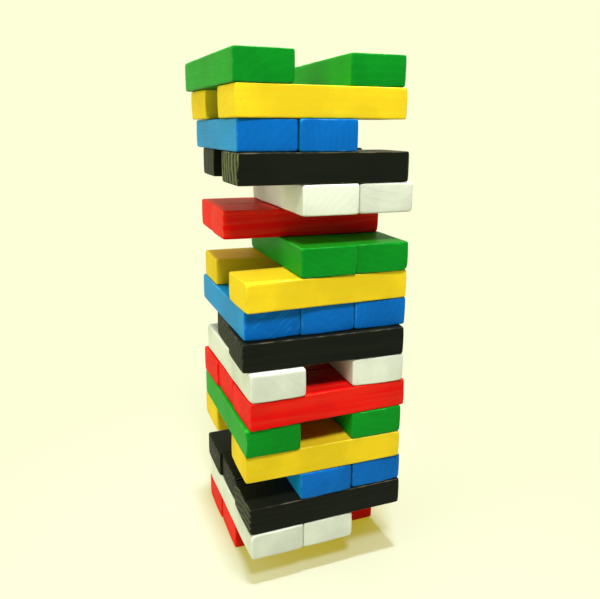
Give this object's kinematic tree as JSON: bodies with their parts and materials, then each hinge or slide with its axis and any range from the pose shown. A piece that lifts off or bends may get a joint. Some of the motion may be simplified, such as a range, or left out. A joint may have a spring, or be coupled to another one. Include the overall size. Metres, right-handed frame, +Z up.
{
  "type": "giant tumbling tower",
  "caption": "Free-standing stacking-game tower of painted wooden blocks, laid crosswise in layers of three, some already drawn; each remaining block slides out along its length.",
  "frame": {"origin": "on the ground under the centre line that the tower was built on, on the underside of the middle block of the lowest layer", "axes": "+Z up the tower; +X along the blocks of the odd layers, counted from the ground; +Y along the blocks of the even layers"},
  "size_m": [0.2094, 0.2084, 0.5811],
  "materials": {
    "red_paint": "thin satin paint over sanded wood, grain showing through",
    "white_paint": "thin satin paint over sanded wood, grain showing through",
    "black_paint": "thin satin paint over sanded wood, grain showing through",
    "blue_paint": "thin satin paint over sanded wood, grain showing through",
    "yellow_paint": "thin satin paint over sanded wood, grain showing through",
    "green_paint": "thin satin paint over sanded wood, grain showing through"
  },
  "bodies": {
    "layer_01_red_middle": {"layer_01_red_middle": "red_paint"},
    "layer_01_red_back": {"layer_01_red_back": "red_paint"},
    "layer_02_white_left": {"layer_02_white_left": "white_paint"},
    "layer_02_white_middle": {"layer_02_white_middle": "white_paint"},
    "layer_03_black_front": {"layer_03_black_front": "black_paint"},
    "layer_03_black_middle": {"layer_03_black_middle": "black_paint"},
    "layer_03_black_back": {"layer_03_black_back": "black_paint"},
    "layer_04_blue_middle": {"layer_04_blue_middle": "blue_paint"},
    "layer_04_blue_right": {"layer_04_blue_right": "blue_paint"},
    "layer_05_yellow_front": {"layer_05_yellow_front": "yellow_paint"},
    "layer_05_yellow_back": {"layer_05_yellow_back": "yellow_paint"},
    "layer_06_green_left": {"layer_06_green_left": "green_paint"},
    "layer_06_green_right": {"layer_06_green_right": "green_paint"},
    "layer_07_red_front": {"layer_07_red_front": "red_paint"},
    "layer_07_red_middle": {"layer_07_red_middle": "red_paint"},
    "layer_07_red_back": {"layer_07_red_back": "red_paint"},
    "layer_08_white_left": {"layer_08_white_left": "white_paint"},
    "layer_08_white_right": {"layer_08_white_right": "white_paint"},
    "layer_09_black_front": {"layer_09_black_front": "black_paint"},
    "layer_09_black_middle": {"layer_09_black_middle": "black_paint"},
    "layer_10_blue_left": {"layer_10_blue_left": "blue_paint"},
    "layer_10_blue_middle": {"layer_10_blue_middle": "blue_paint"},
    "layer_10_blue_right": {"layer_10_blue_right": "blue_paint"},
    "layer_11_yellow_front": {"layer_11_yellow_front": "yellow_paint"},
    "layer_11_yellow_back": {"layer_11_yellow_back": "yellow_paint"},
    "layer_12_green_middle": {"layer_12_green_middle": "green_paint"},
    "layer_12_green_right": {"layer_12_green_right": "green_paint"},
    "layer_13_red_middle": {"layer_13_red_middle": "red_paint"},
    "layer_13_red_back": {"layer_13_red_back": "red_paint"},
    "layer_14_white_middle": {"layer_14_white_middle": "white_paint"},
    "layer_14_white_right": {"layer_14_white_right": "white_paint"},
    "layer_15_black_front": {"layer_15_black_front": "black_paint"},
    "layer_15_black_back": {"layer_15_black_back": "black_paint"},
    "layer_16_blue_left": {"layer_16_blue_left": "blue_paint"},
    "layer_16_blue_middle": {"layer_16_blue_middle": "blue_paint"},
    "layer_17_yellow_front": {"layer_17_yellow_front": "yellow_paint"},
    "layer_17_yellow_back": {"layer_17_yellow_back": "yellow_paint"},
    "layer_18_green_left": {"layer_18_green_left": "green_paint"},
    "layer_18_green_right": {"layer_18_green_right": "green_paint"}
  },
  "joints": [
    {"name": "layer_01_red_back_slide", "type": "slide", "parent": "layer_01_red_middle", "child": "layer_01_red_back", "axis": [1, -0.0087, 0], "range_m": [-0.2, 0.2]},
    {"name": "layer_02_white_left_slide", "type": "slide", "parent": "layer_01_red_middle", "child": "layer_02_white_left", "axis": [-0.0087, 1, 0], "range_m": [-0.2, 0.2]},
    {"name": "layer_02_white_middle_slide", "type": "slide", "parent": "layer_01_red_middle", "child": "layer_02_white_middle", "axis": [-0.0087, 1, 0], "range_m": [-0.2, 0.2]},
    {"name": "layer_03_black_front_slide", "type": "slide", "parent": "layer_01_red_middle", "child": "layer_03_black_front", "axis": [1, 0, 0], "range_m": [-0.2, 0.2]},
    {"name": "layer_03_black_middle_slide", "type": "slide", "parent": "layer_01_red_middle", "child": "layer_03_black_middle", "axis": [1, 0, 0], "range_m": [-0.2, 0.2]},
    {"name": "layer_03_black_back_slide", "type": "slide", "parent": "layer_01_red_middle", "child": "layer_03_black_back", "axis": [1, 0, 0], "range_m": [-0.2, 0.2]},
    {"name": "layer_04_blue_middle_slide", "type": "slide", "parent": "layer_01_red_middle", "child": "layer_04_blue_middle", "axis": [-0.0087, 1, 0], "range_m": [-0.2, 0.2]},
    {"name": "layer_04_blue_right_slide", "type": "slide", "parent": "layer_01_red_middle", "child": "layer_04_blue_right", "axis": [-0.0087, 1, 0], "range_m": [-0.2, 0.2]},
    {"name": "layer_05_yellow_front_slide", "type": "slide", "parent": "layer_01_red_middle", "child": "layer_05_yellow_front", "axis": [0.9998, -0.0175, 0], "range_m": [-0.2, 0.2]},
    {"name": "layer_05_yellow_back_slide", "type": "slide", "parent": "layer_01_red_middle", "child": "layer_05_yellow_back", "axis": [1, -0.0087, 0], "range_m": [-0.2, 0.2]},
    {"name": "layer_06_green_left_slide", "type": "slide", "parent": "layer_01_red_middle", "child": "layer_06_green_left", "axis": [0, 1, 0], "range_m": [-0.2, 0.2]},
    {"name": "layer_06_green_right_slide", "type": "slide", "parent": "layer_01_red_middle", "child": "layer_06_green_right", "axis": [0.0087, 1, 0], "range_m": [-0.2, 0.2]},
    {"name": "layer_07_red_front_slide", "type": "slide", "parent": "layer_01_red_middle", "child": "layer_07_red_front", "axis": [0.9997, 0.0262, 0], "range_m": [-0.2, 0.2]},
    {"name": "layer_07_red_middle_slide", "type": "slide", "parent": "layer_01_red_middle", "child": "layer_07_red_middle", "axis": [0.9998, 0.0175, 0], "range_m": [-0.2, 0.2]},
    {"name": "layer_07_red_back_slide", "type": "slide", "parent": "layer_01_red_middle", "child": "layer_07_red_back", "axis": [0.9998, 0.0175, 0], "range_m": [-0.2, 0.2]},
    {"name": "layer_08_white_left_slide", "type": "slide", "parent": "layer_01_red_middle", "child": "layer_08_white_left", "axis": [-0.0087, 1, 0], "range_m": [-0.2, 0.2]},
    {"name": "layer_08_white_right_slide", "type": "slide", "parent": "layer_01_red_middle", "child": "layer_08_white_right", "axis": [0.0349, 0.9994, 0], "range_m": [-0.2, 0.2]},
    {"name": "layer_09_black_front_slide", "type": "slide", "parent": "layer_01_red_middle", "child": "layer_09_black_front", "axis": [0.9997, -0.0262, 0], "range_m": [-0.2, 0.2]},
    {"name": "layer_09_black_middle_slide", "type": "slide", "parent": "layer_01_red_middle", "child": "layer_09_black_middle", "axis": [0.9994, -0.0349, 0], "range_m": [-0.2, 0.2]},
    {"name": "layer_10_blue_left_slide", "type": "slide", "parent": "layer_01_red_middle", "child": "layer_10_blue_left", "axis": [0, 1, 0], "range_m": [-0.2, 0.2]},
    {"name": "layer_10_blue_middle_slide", "type": "slide", "parent": "layer_01_red_middle", "child": "layer_10_blue_middle", "axis": [0, 1, 0], "range_m": [-0.2, 0.2]},
    {"name": "layer_10_blue_right_slide", "type": "slide", "parent": "layer_01_red_middle", "child": "layer_10_blue_right", "axis": [0, 1, 0], "range_m": [-0.2, 0.2]},
    {"name": "layer_11_yellow_front_slide", "type": "slide", "parent": "layer_01_red_middle", "child": "layer_11_yellow_front", "axis": [0.9997, 0.0262, 0], "range_m": [-0.2, 0.2]},
    {"name": "layer_11_yellow_back_slide", "type": "slide", "parent": "layer_01_red_middle", "child": "layer_11_yellow_back", "axis": [0.9997, -0.0262, 0], "range_m": [-0.2, 0.2]},
    {"name": "layer_12_green_middle_slide", "type": "slide", "parent": "layer_01_red_middle", "child": "layer_12_green_middle", "axis": [0.0175, 0.9998, 0], "range_m": [-0.2, 0.2]},
    {"name": "layer_12_green_right_slide", "type": "slide", "parent": "layer_01_red_middle", "child": "layer_12_green_right", "axis": [0.0175, 0.9998, 0], "range_m": [-0.2, 0.2]},
    {"name": "layer_13_red_middle_slide", "type": "slide", "parent": "layer_01_red_middle", "child": "layer_13_red_middle", "axis": [0.9994, -0.0349, 0], "range_m": [-0.2, 0.2]},
    {"name": "layer_13_red_back_slide", "type": "slide", "parent": "layer_01_red_middle", "child": "layer_13_red_back", "axis": [0.9994, -0.0349, 0], "range_m": [-0.2, 0.2]},
    {"name": "layer_14_white_middle_slide", "type": "slide", "parent": "layer_01_red_middle", "child": "layer_14_white_middle", "axis": [0.0262, 0.9997, 0], "range_m": [-0.2, 0.2]},
    {"name": "layer_14_white_right_slide", "type": "slide", "parent": "layer_01_red_middle", "child": "layer_14_white_right", "axis": [0.0262, 0.9997, 0], "range_m": [-0.2, 0.2]},
    {"name": "layer_15_black_front_slide", "type": "slide", "parent": "layer_01_red_middle", "child": "layer_15_black_front", "axis": [1, -0.0087, 0], "range_m": [-0.2, 0.2]},
    {"name": "layer_15_black_back_slide", "type": "slide", "parent": "layer_01_red_middle", "child": "layer_15_black_back", "axis": [0.9994, -0.0349, 0], "range_m": [-0.2, 0.2]},
    {"name": "layer_16_blue_left_slide", "type": "slide", "parent": "layer_01_red_middle", "child": "layer_16_blue_left", "axis": [0.0087, 1, 0], "range_m": [-0.2, 0.2]},
    {"name": "layer_16_blue_middle_slide", "type": "slide", "parent": "layer_01_red_middle", "child": "layer_16_blue_middle", "axis": [0.0087, 1, 0], "range_m": [-0.2, 0.2]},
    {"name": "layer_17_yellow_front_slide", "type": "slide", "parent": "layer_01_red_middle", "child": "layer_17_yellow_front", "axis": [0.9997, 0.0262, 0], "range_m": [-0.2, 0.2]},
    {"name": "layer_17_yellow_back_slide", "type": "slide", "parent": "layer_01_red_middle", "child": "layer_17_yellow_back", "axis": [0.999, 0.0436, 0], "range_m": [-0.2, 0.2]},
    {"name": "layer_18_green_left_lift", "type": "slide", "parent": "layer_01_red_middle", "child": "layer_18_green_left", "axis": [0, 0, 1], "range_m": [0, 0.1]},
    {"name": "layer_18_green_right_lift", "type": "slide", "parent": "layer_01_red_middle", "child": "layer_18_green_right", "axis": [0, 0, 1], "range_m": [0, 0.1]}
  ]
}
